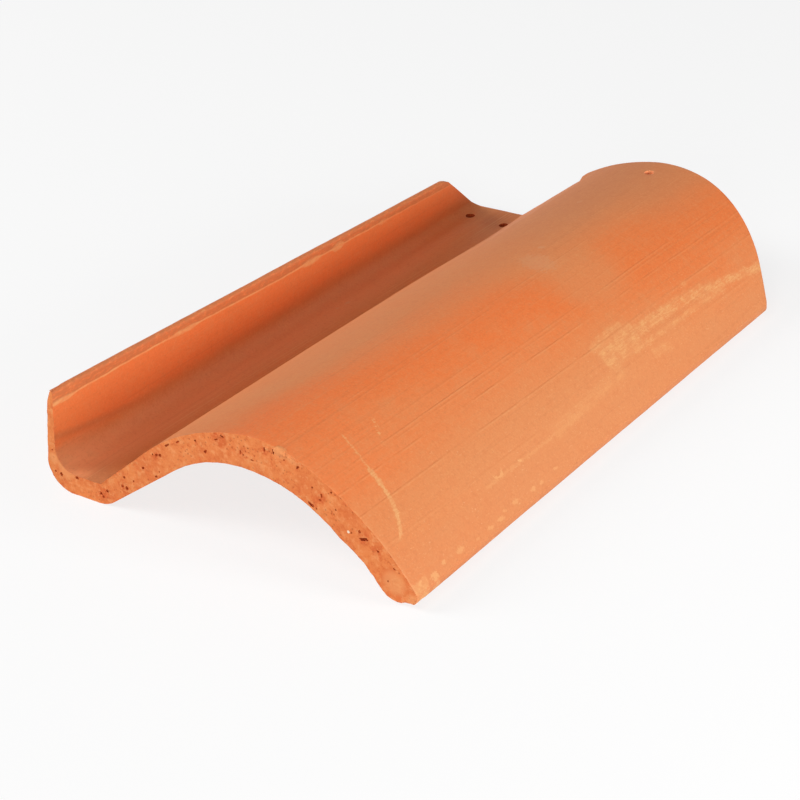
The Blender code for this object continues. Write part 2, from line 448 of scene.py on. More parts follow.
@dataclass(frozen=True)
class FiredSkin:
    """Finish of the moulded faces: drawn, fired and lightly rubbed, with painted light and painted shade in
    places. Places are in millimetres.
    """

    clay: Colour = (0.81, 0.25, 0.076, 1.0)
    vivid: Colour = (0.88, 0.19, 0.038, 1.0)
    dusty: Colour = (0.76, 0.295, 0.11, 1.0)
    smoky: Colour = (0.64, 0.225, 0.085, 1.0)
    flame: Colour = (0.96, 0.2, 0.042, 1.0)
    # Colour of the painted light on the lit upper part of the rim's inner wall.
    wall_light: Colour = (0.93, 0.225, 0.058, 1.0)
    # Colour of the scored lines and darker mottle; at the pan's head end it is painted shade.
    scored_and_shade: Colour = (0.64, 0.15, 0.04, 1.0)
    dull: Colour = (0.56, 0.17, 0.06, 1.0)
    # Worn colour of the rim's top band; it also paints shade in the pan's mouth.
    worn: Colour = (0.56, 0.19, 0.072, 1.0)
    pan: Colour = (0.83, 0.3, 0.124, 1.0)
    # Colour of painted light: the pan's tail end and the far wall inside the crest's nail hole.
    lit_clay: Colour = (0.96, 0.36, 0.15, 1.0)
    rubbed: Colour = (0.88, 0.44, 0.17, 1.0)
    fleck: Colour = (0.88, 0.48, 0.22, 1.0)
    chalk: Colour = (0.76, 0.34, 0.16, 1.0)
    barrel_from: Pair = (60.0, 80.0)
    wall_from: Pair = (20.0, 15.0)
    dusty_flank: Zone = Zone(dusty, 0.40, ((205.0, 250.0),), ((0.0, 90.0),))
    warm_crest: Zone = Zone(flame, 1.0, ((134.0, 152.0), (234.0, 212.0)), ((250.0, 190.0),))
    # Painted light: the rim's inner wall above its shadow line is painted brighter and more saturated.
    lit_rim_wall: Zone = Zone(wall_light, 0.85, (wall_from,), (), ((20.0, 32.0),))
    low_edge: Zone = Zone(dull, 0.10, ((243.0, 250.0),))
    pan_zones: tuple[Zone, ...] = (
        Zone(pan, 0.75, ((40.0, 24.0),), ((390.0, 300.0),), ((24.0, 16.0),)),
        # Painted light: the pan's floor and wall at the tail end are painted paler, where light comes in at
        # the open end.
        Zone(lit_clay, 0.90, ((1.0, 5.0), (31.0, 18.0)), ((50.0, 6.0),), ((30.0, 22.0),)),
        # Painted shade: the pan floor near the barrel is darkened at the tail end, against the light that
        # comes in there.
        Zone(worn, 0.75, ((24.0, 31.0), (46.0, 40.0)), ((22.0, 6.0),)),
        # Painted shade: the pan floor is darkened at the head end, between the pan's end and the barrel.
        Zone(scored_and_shade, 0.42, ((22.0, 28.0), (46.0, 40.0)), ((382.0, 396.0),)),
        Zone(pan, 0.55, ((12.0, 17.0), (26.0, 20.0)), ((300.0, 350.0), (398.0, 380.0)), ((24.0, 16.0),)),
    )
    blush: Route = (
        (0.0, 158.0), (60.0, 166.0), (120.0, 181.0), (200.0, 188.0), (300.0, 204.0), (415.0, 209.0)
    )
    # Height of the painted shadow line on the rim's inner wall, along the tile from the tail end.
    wall_shadow_line: Route = ((0.0, 34.5), (16.0, 31.2), (45.0, 26.8), (80.0, 23.4), (120.0, 21.0))
    rim_line: Route = ((0.0, 55.8), (50.0, 55.6), (108.0, 53.8), (183.0, 50.2), (255.0, 48.0), (372.0, 43.5))
    rim_rubs: tuple[Triple, ...] = (
        (7.0, 13.0, 1.5), (111.0, 14.0, 1.5), (230.0, 11.0, 2.4), (257.0, 7.0, 3.2), (304.0, 5.0, 1.5),
    )
    pale_middle: Spot = Spot(194.0, 262.0, 24.0, 32.0, 0.50)
    crest_hole: Pair = (157.0, 397.0)
    dabs: tuple[Spot, ...] = (
        Spot(258.4, 17.5, 1.5, 3.8, 0.62), Spot(256.8, 28.0, 0.9, 1.8, 0.5),
        Spot(256.9, 42.5, 1.0, 4.0, 0.45), Spot(257.2, 58.0, 0.6, 1.6, 0.35),
        Spot(256.9, 70.5, 0.7, 3.2, 0.4), Spot(256.6, 80.5, 0.8, 3.4, 0.4),
        Spot(255.3, 86.0, 0.6, 1.6, 0.4), Spot(255.1, 96.0, 0.8, 3.6, 0.45),
        Spot(255.2, 113.2, 0.7, 2.6, 0.45), Spot(255.1, 121.5, 0.6, 2.6, 0.45),
        Spot(254.2, 136.5, 0.5, 2.6, 0.4),
    )
    lime_clouds: tuple[Spot, ...] = (
        Spot(169.0, 251.5, 12.0, 11.0, 0.42), Spot(160.0, 269.0, 2.2, 2.6, 0.60),
        Spot(140.0, 342.0, 2.2, 2.6, 0.50), Spot(21.0, 250.0, 1.6, 3.0, 0.70),
        Spot(20.0, 241.0, 1.2, 2.0, 0.60),
    )
    draw_lines: Route = (
        (175.6, 0.6), (178.6, 0.4), (206.0, 0.8), (208.1, 0.5), (214.2, 0.8), (226.8, 0.7), (191.0, 0.3),
        (199.0, 0.4), (241.0, 0.35),
    )
    pan_lines: tuple[Triple, ...] = (
        (28.6, 0.012, 0.40), (31.0, 0.012, 0.30), (36.5, 0.004, 0.25), (25.0, 0.008, 0.20),
    )
    scuffs: tuple[Stroke, ...] = (
        Stroke(((258.0, 232.2), (300.0, 232.8), (332.0, 234.8)), 3.8, 0.90),
        Stroke(((322.0, 234.6), (352.0, 236.8), (385.0, 240.0), (411.0, 241.8)), 2.6, 0.90),
        Stroke(((240.0, 238.0), (262.0, 238.5), (320.0, 238.5), (350.0, 239.0)), 1.6, 0.60),
        Stroke(((219.0, 234.0), (238.0, 233.0), (258.0, 231.5)), 7.0, 0.85),
        Stroke(((216.0, 228.0), (244.0, 225.5), (252.0, 226.0)), 3.0, 0.60),
        Stroke(((258.0, 243.0), (276.0, 244.4)), 2.4, 0.50),
        Stroke(((150.0, 245.0), (190.0, 243.0), (228.0, 241.0)), 3.6, 0.34),
        Stroke(((317.0, 227.6), (322.0, 227.8)), 1.8, 0.50),
    )
    long_scratch: tuple[Stroke, ...] = (
        Stroke(((191.0, 34.8), (206.0, 30.4), (216.0, 27.0)), 0.9, 0.8),
        Stroke(((213.0, 28.0), (228.0, 24.6), (236.0, 20.0), (242.5, 12.0)), 2.0),
    )
    dotted_scratch: Stroke = Stroke(((191.0, 60.0), (200.0, 53.5), (207.0, 49.0)), 1.9, 0.8)
    dotted_tick: Stroke = Stroke(((113.0, 245.0), (121.0, 246.2)), 1.2, 0.8)
    fine_ticks: tuple[Stroke, ...] = (
        Stroke(((92.0, 243.0), (97.0, 245.5), (101.0, 243.0)), 0.8, 0.6),
        Stroke(((83.0, 246.0), (130.0, 245.6), (180.0, 244.4)), 0.8, 0.25),
    )
    corner_rub: Stroke = Stroke(((0.0, 258.5), (6.0, 258.5), (12.0, 257.5)), 2.2, 0.8)

    @cached_property
    def tree(self) -> ShaderTree:
        """The material's nodes."""
        return ShaderTree(bpy.data.materials.new(Side.SKIN.value))

    def build(self) -> bpy.types.Material:
        """Makes the material.

        Returns:
            The material.
        """
        tree = self.tree
        broad = tree.cloud(14.0)
        patch = tree.cloud(60.0, 5.0, 0.6)
        mottle = tree.cloud(230.0, 3.0, 0.6)
        grain = tree.cloud(780.0, 3.0, 0.6)
        drag = tree.cloud(1.0, 4.0, 0.65, (520.0, 2.6, 520.0))
        on_barrel = tree.places[0].step(*self.barrel_from)
        self.ground(broad, patch)
        tree.lay(patch.step(0.45, 0.75) * 0.18, self.dusty)
        tree.lay(drag.step(0.50, 0.72) * 0.22, self.dusty)
        tree.lay(drag.step(0.46, 0.30) * 0.16, self.dull)
        tree.lay(mottle.step(0.48, 0.66) * 0.16, self.dusty)
        tree.lay(mottle.step(0.48, 0.34) * 0.12, self.scored_and_shade)
        tree.lay(grain.step(0.52, 0.68) * 0.20, self.rubbed)
        tree.lay(grain.step(0.46, 0.32) * 0.22, self.dull)
        cut_line, raised = self.grooves()
        tree.lay(cut_line * on_barrel * 0.40, self.scored_and_shade)
        tree.lay(raised * on_barrel * 0.24, self.rubbed)
        self.low_edge.lay(tree)
        self.rim_band()
        self.lined_pan()
        marks = self.marks()
        tree.lay(marks, self.rubbed)
        tree.lay(self.flecks(), self.fleck)
        # Painted light on the far wall inside the crest's nail hole.
        tree.lay(self.lit_hole_wall(), self.lit_clay)
        tree.lay(self.spots(self.dabs), self.rubbed)
        tree.lay(self.spots(self.lime_clouds), self.chalk)
        roughness = 0.60 + grain * 0.12 + marks * 0.08
        relief = grain * 0.45 + drag * 0.35 + patch * 0.2 + (raised - cut_line) * on_barrel * 0.5
        return tree.finish(roughness, relief, (0.00022, 0.8), 0.40)

    def ground(self, broad: Socket, patch: Socket) -> None:
        """Colours the clay before any mark: paler flank, glowing crest and smoky head, with painted light
        and painted shade on the rim's inner wall and in the pan.

        Args:
            broad: Noise in broad clouds.
            patch: Noise in patches.
        """
        tree = self.tree
        across, along, height = tree.places
        on_barrel = across.step(*self.barrel_from)
        spread = patch - 0.5
        away = across - tree.curve(along, self.blush) + (broad - 0.5) * 24.0 + spread * 16.0
        reach = 25.0 + along.step(80.0, 20.0) * 14.0 + along.step(250.0, 330.0) * 10.0
        glowing = (abs(away) / reach).step(1.30, 0.1) * on_barrel
        right = (across - self.pale_middle.across) / self.pale_middle.wide
        ahead = (along - self.pale_middle.along) / self.pale_middle.tall
        paled = (right * right + ahead * ahead + spread * 1.6).step(1.4, 0.1)
        left_smoke = (across + spread * 30.0).step(190.0, 150.0) * along.step(225.0, 350.0)
        head_smoke = (across + spread * 24.0).step(208.0, 178.0) * along.step(325.0, 372.0)
        # Painted shadow: a darker band along the rim's inner wall near the tail, at the edge of the barrel's
        # shadow.
        painted_shadow_band = (abs(height - tree.curve(along, self.wall_shadow_line)) / 4.6).step(1.0, 0.0)
        painted_shadow_band = painted_shadow_band * along.step(110.0, 25.0) * self.inside_rim()
        tree.colour = self.clay
        tree.lay(broad.step(0.3, 0.7) * 0.30, self.dusty)
        self.dusty_flank.lay(tree)
        tree.lay(glowing * 0.85, self.vivid)
        self.warm_crest.lay(tree, 0.32 + along.step(90.0, 20.0) * 0.22)
        tree.lay(paled * self.pale_middle.strength, self.dusty)
        tree.lay(left_smoke.most(head_smoke) * on_barrel * 0.48, self.smoky)
        # Painted light on the lit upper part of the rim's inner wall.
        self.lit_rim_wall.lay(tree)
        tree.lay(painted_shadow_band * 0.50, self.dull)
        # The pan zones paint light at the pan's tail end and shade beside the barrel at both ends.
        for zone in self.pan_zones:
            zone.lay(tree)

    def inside_rim(self) -> Socket:
        """Tells the rim's inner side from the rest of the tile."""
        across = self.tree.places[0]
        return across.step(*self.wall_from) * across.step(0.8, 1.8)

    def grooves(self) -> tuple[Socket, Socket]:
        """Fine lines that the die drew along the barrel.

        Returns:
            Strength of the cut lines and of the ridges beside them, from 0 to 1.
        """
        tree = self.tree
        waver = (tree.cloud(12.0, 1.0) - 0.5) * 0.9
        broken = 0.25 + 0.75 * tree.cloud(1.0, 4.0, 0.65, (70.0, 26.0, 70.0)).step(0.42, 0.58)
        aways = [(tree.places[0] + waver - place, strength) for place, strength in self.draw_lines]
        cut_line = strongest(abs(away).step(0.42, 0.10) * strength for away, strength in aways)
        raised = strongest(abs(away - 0.85).step(0.50, 0.15) * strength for away, strength in aways)
        return cut_line * broken, raised * broken

    def lined_pan(self) -> None:
        """Adds the fine pale lines that the die drew along the pan."""
        tree = self.tree
        across, along, _ = tree.places
        broken = tree.cloud(1.0, 3.0, 0.6, (60.0, 14.0, 60.0)).step(0.40, 0.6)
        for start, drift, strength in self.pan_lines:
            line = abs(across - start - along * drift).step(0.5, 0.12)
            tree.lay(line * broken * strength, self.fleck)

    def rim_band(self) -> None:
        """Adds the dull band along the rim's top, with a pale rubbed line below it."""
        tree = self.tree
        _, along, height = tree.places
        on_rim = self.inside_rim()
        wander = (tree.cloud(70.0) - 0.5) * 1.6
        above = height - tree.curve(along, self.rim_line) + wander
        crumbly = tree.cloud(1.0, 4.0, 0.65, (520.0, 220.0, 520.0))
        flecked = tree.cloud(1.0, 4.0, 0.7, (520.0, 200.0, 520.0)).step(0.40, 0.58)
        weathered = above.step(0.0, 0.8) * on_rim
        tree.lay(weathered * (0.66 - crumbly.step(0.45, 0.62) * 0.30), self.worn)
        tree.lay(weathered * crumbly.step(0.58, 0.68) * 0.28, self.rubbed)
        tree.lay(weathered * crumbly.step(0.42, 0.32) * 0.35, self.dull)
        width: Socket | float = 0.90
        for place, reach, gain in self.rim_rubs:
            width = width + (abs(along - place) / reach).step(1.0, 0.3) * gain
        rubbed = (abs(above + 0.1) / width).step(1.0, 0.25) * on_rim
        share = rubbed * (0.50 + flecked * 0.50) * (0.35 + along.step(345.0, 260.0) * 0.60)
        tree.lay(share, self.rubbed)

    def marks(self) -> Socket:
        """Pale scratches and scuffs on the barrel.

        Returns:
            Strength of the marks, from 0 to 1.
        """
        tree = self.tree
        jitter = (tree.cloud(340.0, 4.0, 0.7) - 0.5) * 5.0
        across, along, _ = tree.places
        lengthwise = (along, across + jitter * 0.8)
        crosswise = (across, along + jitter)
        speckle = tree.cloud(1.0, 4.0, 0.75, (1100.0, 420.0, 1100.0)).step(0.47, 0.57)
        strokes = tree.cloud(1.0, 3.0, 0.7, (820.0, 90.0, 820.0)).step(0.45, 0.56)
        patchy = tree.cloud(150.0, 4.0, 0.65).step(0.40, 0.56)
        dots = tree.cloud(1.0, 2.0, 0.6, (330.0, 200.0, 330.0)).step(0.50, 0.58)
        wide = strongest(scuff.share(tree, *lengthwise) for scuff in self.scuffs)
        thin = strongest(scratch.share(tree, *crosswise) for scratch in self.long_scratch)
        fine = strongest(tick.share(tree, *lengthwise) for tick in self.fine_ticks)
        dotted = self.dotted_scratch.share(tree, *crosswise).most(self.dotted_tick.share(tree, *lengthwise))
        corner = self.corner_rub.share(tree, *lengthwise)
        shares = (
            wide * (0.45 + patchy * 0.55) * (0.20 + strokes * 0.40 + speckle * 0.40),
            thin * (0.30 + speckle * 0.45 + patchy * 0.25),
            dotted * dots,
            fine,
            corner * (0.35 + patchy * 0.65),
        )
        return strongest(shares)

    def flecks(self) -> Socket:
        """Tiny pale flecks, thickest on the low side of the barrel.

        Returns:
            Strength of the flecks, from 0 to 1.
        """
        tree = self.tree
        across, along, _ = tree.places
        flecks = tree.cloud(1.0, 3.0, 0.7, (900.0, 420.0, 900.0)).step(0.60, 0.70)
        zone = across.step(185.0, 246.0) * 0.8 + 0.10
        gathered = tree.cloud(34.0, 3.0, 0.6).step(0.35, 0.65)
        chipped = tree.cloud(380.0).step(0.46, 0.58)
        edge = along.step(1.6, 0.4) * chipped * across.step(60.0, 130.0) * 0.12
        return (flecks * zone * (0.35 + gathered * 0.65) * 0.60).most(edge)

    def lit_hole_wall(self) -> Socket:
        """Painted light on the far wall inside the crest's nail hole.

        Returns:
            Share of its colour.
        """
        across, along, _ = self.tree.places
        right, ahead = across - self.crest_hole[0], along - self.crest_hole[1]
        return (right * right + ahead * ahead).step(13.0, 10.6) * 0.85

    def spots(self, places: tuple[Spot, ...]) -> Socket:
        """Ragged spots at given places.

        Args:
            places: The spots.

        Returns:
            Strength of the spots, from 0 to 1.
        """
        ragged = (self.tree.cloud(620.0, 4.0, 0.7) - 0.5) * 5.0
        return strongest(spot.share(self.tree, ragged) for spot in places)


@dataclass(frozen=True)
class CutSpot:
    """Round place on the cut face: its middle across and up and its radius, in millimetres."""

    across: float
    height: float
    radius: float

    def away(self, tree: ShaderTree, ragged: Socket) -> Socket:
        """Square of the distance from the middle, counted in radii.

        Args:
            tree: The material's nodes.
            ragged: Noise that breaks the outline.

        Returns:
            0 in the middle and about 1 at the outline.
        """
        across, _, height = tree.places
        right, up = (across - self.across) / self.radius, (height - self.height) / self.radius
        return right * right + up * up + (ragged - 0.5) * 1.2


@dataclass(frozen=True)
class CutClay:
    """Finish of the ends, where the wire cut the soft clay."""

    clay: Colour = (0.825, 0.245, 0.07, 1.0)
    red: Colour = (0.69, 0.132, 0.032, 1.0)
    pale: Colour = (0.89, 0.37, 0.14, 1.0)
    # Colour of the painted shade in the cut face's tiny pores.
    pore_speck_shade: Colour = (0.36, 0.045, 0.01, 1.0)
    lime: Colour = (0.95, 0.78, 0.6, 1.0)
    lime_grain: CutSpot = CutSpot(218.7, 35.5, 0.85)
    # Pale spots on the cut face; the first two are a painted highlight on the rounded edge by the rim's
    # inner corner.
    pale_and_lit_places: tuple[CutSpot, ...] = (
        CutSpot(14.0, 15.5, 7.0), CutSpot(5.0, 20.0, 4.0), CutSpot(2.5, 44.0, 5.0),
        CutSpot(177.6, 71.4, 5.0), CutSpot(185.0, 69.0, 3.4), CutSpot(169.5, 70.9, 1.6),
        CutSpot(257.0, 5.5, 4.5), CutSpot(246.0, 13.0, 8.0),
    )
    crumbly_places: tuple[CutSpot, ...] = (
        CutSpot(229.0, 34.8, 4.5), CutSpot(202.5, 51.0, 4.0), CutSpot(197.0, 44.5, 3.5),
        CutSpot(59.0, 16.5, 5.0), CutSpot(88.0, 45.0, 4.0), CutSpot(42.0, 7.0, 5.0),
        CutSpot(237.0, 29.0, 4.5), CutSpot(167.0, 68.6, 3.0), CutSpot(136.0, 68.0, 6.0),
        CutSpot(152.0, 63.0, 4.0),
    )

    def build(self) -> bpy.types.Material:
        """Makes the material.

        Returns:
            The material.
        """
        tree = ShaderTree(bpy.data.materials.new(Side.CUT.value))
        patch = tree.cloud(60.0, 5.0, 0.65)
        grain = tree.cloud(900.0, 4.0, 0.65)
        crumbs = tree.cloud(330.0, 4.0, 0.65)
        sparse = tree.cloud(95.0).step(0.47, 0.62)
        cells = tree.node("ShaderNodeTexVoronoi", {"Vector": tree.place, "Scale": 430.0})
        # Painted shade: sparse dark specks stand in for the shade in tiny pores of the cut face.
        pore_speck_mask = Socket(tree, cells.outputs["Distance"]).step(0.34, 0.08) * sparse
        tree.colour = self.clay
        tree.lay(patch.step(0.42, 0.66) * 0.50, self.red)
        tree.lay(crumbs.step(0.50, 0.64) * 0.50, self.pale)
        tree.lay(crumbs.step(0.46, 0.34) * 0.55, self.red)
        tree.lay(grain.step(0.55, 0.72) * 0.25, self.red)
        for place in self.pale_and_lit_places:
            share = place.away(tree, crumbs).step(1.2, 0.2)
            tree.lay(share * 0.55, self.pale)
        for place in self.crumbly_places:
            share = place.away(tree, crumbs).step(1.3, 0.1)
            tree.lay(share * (0.25 + crumbs.step(0.56, 0.44) * 0.55), self.red)
        tree.lay(pore_speck_mask * 0.50, self.pore_speck_shade)
        tree.lay(self.lime_grain.away(tree, crumbs).step(1.1, 0.6), self.lime)
        relief = grain * 0.4 + crumbs * 0.8 - pore_speck_mask * 0.3
        return tree.finish(0.85, relief, (0.00055, 0.9), 0.25)


@dataclass(frozen=True)
class PoreShade:
    """Painted shade inside the open pores of the cut ends and the nail holes in the pan: dark clay colours
    that stand in for the shade there.
    """

    deep_shade: Colour = (0.38, 0.048, 0.008, 1.0)
    edge: Colour = (0.6, 0.105, 0.024, 1.0)

    def build(self) -> bpy.types.Material:
        """Makes the material.

        Returns:
            The material.
        """
        tree = ShaderTree(bpy.data.materials.new(Side.PIT.value))
        grain = tree.cloud(900.0, 3.0, 0.6)
        tree.colour = self.deep_shade
        tree.lay(grain.step(0.4, 0.7), self.edge)
        return tree.finish(0.95, grain, (0.0004, 0.8), 0.2)


@dataclass
class Pore:
    """One open pore or chip on the cut end."""

    across: float
    height: float
    radius: float
    stretch: float = 1.0
    turn: float = 0.0
    depth: float = 1.0


@dataclass
class Crumb:
    """One lump or curl of clay that the wire pushed over the top edge of the cut end."""

    across: float
    height: float
    wide: float
    tall: float
    rise: float
    turn: float = 0.0


@dataclass(frozen=True)
class Ripple:
    """Unevenness of the surface: waves a metre, their height in metres and a shift of the pattern."""

    waves: float
    height: float
    shift: Triple = (0.0, 0.0, 0.0)

    def at(self, place: Vector) -> float:
        """Height of the unevenness at a place in metres."""
        return noise.noise(place * self.waves + Vector(self.shift)) * self.height


@dataclass(frozen=True)
class Dent:
    """Flank pressed in towards the head end, where the tile was handled wet; in millimetres."""

    depth: float = 2.9
    pan_side: Pair = (39.0, 44.0)
    crest_start: float = 95.0
    crest_end: float = 112.0
    crest_end_at_lip: float = 98.0
    lip_from: float = 407.0
    along: Pair = (215.0, 345.0)
    pan_top: float = 13.1
    inside_start: float = 40.0
    inside_height: float = 5.0
    inside_slope: float = 0.72

    def at(self, place: Vector) -> float:
        """Depth of the dent; the barrel's inside keeps its shape.

        Args:
            place: Millimetres across, along and above the floor.

        Returns:
            Millimetres that the surface sinks.
        """
        across, along, height = place
        if height <= self.inside_slope * (across - self.inside_start) + self.inside_height:
            return 0.0
        end = self.crest_end_at_lip if along > self.lip_from else self.crest_end
        share = smooth(across, *self.pan_side) * (1.0 - smooth(across, self.crest_start, end))
        return min(self.depth * share * smooth(along, *self.along), max(0.0, height - self.pan_top))


@dataclass(frozen=True)
class FootWear:
    """Worn tail corner of the barrel's foot, in millimetres."""

    start: float = 228.0
    reach: Pair = (3.0, 16.0)
    lift: float = 1.85
    heel: float = 247.0
    heel_curve: float = 0.045
    nub: Pair = (248.0, 252.5)
    nub_lift: float = 1.5
    nub_slope_from: float = 251.0
    nub_slope: float = 0.10
    full_height: float = 6.0

    def at(self, place: Vector) -> float:
        """Height that has worn away under the foot.

        Args:
            place: Millimetres across, along and above the floor.

        Returns:
            Millimetres that the surface rises.
        """
        across, along, height = place
        if across <= self.start:
            return 0.0
        heel = self.heel_curve * max(0.0, self.heel - across) ** 2
        nub = smooth(across, *self.nub) * self.nub_lift
        nub += max(0.0, across - self.nub_slope_from) * self.nub_slope
        worn = (self.lift + heel + nub) * (1.0 - smooth(along, *self.reach))
        return max(0.0, worn - height) * (1.0 - 0.5 * smooth(height, 0.0, self.full_height))


@dataclass(frozen=True)
class RimWear:
    """Worn tail corner of the rim, in millimetres."""

    width: float = 10.6
    inset: float = 1.7
    height: Pair = (56.0, 64.8)
    reach: Pair = (1.5, 12.0)

    def at(self, place: Vector) -> float:
        """Width that has worn off the rim.

        Args:
            place: Millimetres across, along and above the floor.

        Returns:
            Millimetres that the surface moves towards the barrel.
        """
        across, along, height = place
        if across >= self.width:
            return 0.0
        return self.inset * smooth(height, *self.height) * (1.0 - smooth(along, *self.reach))


@dataclass
class RoofTile:
    """The tile itself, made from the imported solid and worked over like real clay."""

    node: bpy.types.Object
    tile: bpy.types.Object = field(init=False)
    name: str = "clay_tile"
    merge: float = 0.00001
    slice_merge: float = 0.00002
    edge_round: float = 0.0006
    sharp_edge: float = math.radians(40.0)
    flat_join: float = math.radians(0.6)
    smooth_join: float = math.radians(28.0)
    slices: Triple = (0.0030, 0.0040, 0.0040)
    fine_slice: float = 0.0010
    end_band: float = 0.0008
    tail_depth: float = 0.002
    head_trims: float = 0.09
    pore_unevenness: float = 0.38
    crumb_unevenness: float = 0.12
    dent: Dent = Dent()
    foot_wear: FootWear = FootWear()
    rim_wear: RimWear = RimWear()
    swell: tuple[Ripple, ...] = (Ripple(14.0, 0.00030), Ripple(110.0, 0.00008, (3.0, 7.0, 1.0)))
    torn: tuple[Ripple, ...] = (Ripple(520.0, 0.00024), Ripple(210.0, 0.00026), Ripple(75.0, 0.00020))
    chipped: Ripple = Ripple(260.0, 0.00110, (9.0, 2.0, 5.0))
    touch: float = 0.0015
    rounding: float = 0.0001
    hole_radius: float = 0.0034
    pan_holes: tuple[Pair, ...] = ((12.5, 398.0), (42.0, 395.0))
    seed: int = 7
    crumbs: tuple[Crumb, ...] = (
        Crumb(177.4, 71.2, 4.4, 2.6, 1.5, -6.0), Crumb(169.5, 70.9, 1.5, 1.2, 0.9),
        Crumb(185.2, 68.9, 4.8, 0.8, 0.7, -22.0), Crumb(191.2, 66.2, 1.0, 0.8, 0.6),
        Crumb(135.0, 69.6, 2.6, 0.8, 0.6, 6.0), Crumb(101.0, 55.8, 2.4, 0.8, 0.6, 28.0),
    )
    pores: tuple[Pore, ...] = (
        Pore(9.2, 10.9, 1.2, 1.3, 60.0), Pore(5.0, 11.8, 0.8), Pore(5.1, 25.5, 0.7), Pore(16.8, 14.4, 0.6),
        Pore(21.7, 11.9, 0.9, 1.4, 20.0), Pore(39.5, 6.9, 0.8, 1.5, -50.0), Pore(40.9, 5.0, 0.8),
        Pore(44.8, 9.8, 0.8), Pore(57.5, 16.9, 0.9), Pore(60.5, 16.0, 1.0, 1.3, 40.0),
        Pore(60.0, 23.0, 0.8), Pore(67.0, 22.4, 0.6), Pore(75.9, 33.5, 0.8),
        Pore(85.3, 30.5, 0.8, 1.3, 35.0), Pore(88.2, 34.4, 0.6), Pore(85.0, 44.5, 0.6),
        Pore(87.6, 44.6, 1.0), Pore(90.7, 45.5, 0.9, 1.4, 60.0), Pore(97.0, 53.4, 0.7, 2.6, 32.0),
        Pore(105.3, 57.6, 0.6, 2.6, 25.0), Pore(118.4, 62.0, 0.8), Pore(124.7, 57.0, 0.9, 1.4, 40.0),
        Pore(134.1, 67.0, 0.6, 2.4, 15.0), Pore(138.7, 69.8, 0.6, 2.2, -10.0),
        Pore(150.2, 63.5, 0.7, 1.8, 80.0), Pore(152.0, 62.6, 0.6, 1.6, -20.0), Pore(155.9, 67.5, 0.5),
        Pore(157.8, 60.9, 0.5, 2.4), Pore(167.3, 70.0, 0.9, 1.8, 75.0, 1.6),
        Pore(173.4, 70.4, 0.9, 2.3, 80.0, 2.0), Pore(180.0, 67.0, 0.6), Pore(189.1, 65.3, 0.9, 1.4, 60.0),
        Pore(197.3, 55.7, 0.6), Pore(203.2, 52.7, 0.8, 1.8, 80.0, 1.4), Pore(201.9, 49.6, 0.7, 1.8, 20.0),
        Pore(210.0, 56.4, 0.8), Pore(211.9, 46.6, 0.5, 1.8, 80.0), Pore(195.4, 44.9, 1.1, 1.8, -25.0),
        Pore(198.9, 43.5, 0.7), Pore(220.7, 35.5, 0.6), Pore(226.4, 38.0, 0.8, 1.4, 70.0),
        Pore(228.0, 33.9, 1.3, 1.7, 25.0, 1.6), Pore(230.6, 34.4, 0.9, 1.2, 70.0, 1.3),
        Pore(237.1, 29.4, 0.8, 1.5, -50.0), Pore(246.9, 21.6, 0.7, 1.5, -30.0), Pore(241.9, 13.0, 0.6),
    )

    def build(self) -> bpy.types.Object:
        """Makes the dressed tile.

        Returns:
            The finished piece.
        """
        self.copy_solid()
        self.round_edges()
        self.name_sides()
        self.add_crumbs()
        self.open_pores()
        self.slice_up()
        self.slice_tail()
        self.warp()
        self.roughen()
        self.take(self.tile)
        bpy.ops.object.shade_smooth_by_angle(angle=self.smooth_join)
        return self.tile

    def take(self, item: bpy.types.Object) -> None:
        """Selects one object and nothing else.

        Args:
            item: The object.
        """
        bpy.ops.object.select_all(action="DESELECT")
        item.select_set(True)
        bpy.context.view_layer.objects.active = item

    def edit(self) -> None:
        """Opens the tile in edit mode."""
        self.take(self.tile)
        bpy.ops.object.mode_set(mode="EDIT")

    def copy_solid(self) -> None:
        """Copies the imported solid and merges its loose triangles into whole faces."""
        self.tile = bpy.data.objects.new(self.name, self.node.data.copy())
        bpy.context.scene.collection.objects.link(self.tile)
        self.edit()
        bpy.ops.mesh.select_all(action="SELECT")
        bpy.ops.mesh.customdata_custom_splitnormals_clear()
        bpy.ops.mesh.remove_doubles(threshold=self.merge)
        bpy.ops.mesh.dissolve_limited(angle_limit=self.flat_join)
        bpy.ops.object.mode_set(mode="OBJECT")

    def round_edges(self) -> None:
        """Softens the sharp edges a little, as fired clay has them."""
        self.edit()
        bpy.ops.mesh.select_all(action="DESELECT")
        bpy.ops.mesh.select_mode(type="EDGE")
        bpy.ops.mesh.edges_select_sharp(sharpness=self.sharp_edge)
        bpy.ops.mesh.bevel(offset=self.edge_round, segments=2, profile=0.5, clamp_overlap=True)
        bpy.ops.object.mode_set(mode="OBJECT")

    def name_sides(self) -> None:
        """Gives each face the finish of its side."""
        low, high = tile_box()
        holes = [tile_point(across, along, 0.0) for across, along in self.pan_holes]
        self.tile.data.materials.clear()
        for finish in (FiredSkin(), CutClay(), PoreShade()):
            self.tile.data.materials.append(finish.build())
        for face in self.tile.data.polygons:
            centre, normal = face.center, face.normal
            away = min(math.hypot(centre.x - hole.x, centre.y - hole.y) for hole in holes)
            at_tail = normal.y < -0.8 and centre.y < low.y + self.tail_depth
            at_head = normal.y > 0.5 and centre.y > high.y - self.head_trims
            side = Side.CUT if at_tail or at_head else Side.SKIN
            # Walls of the pan's nail holes take the painted shade material.
            if away < self.hole_radius and abs(normal.z) < 0.7:
                side = Side.PIT
            face.material_index = side.slot

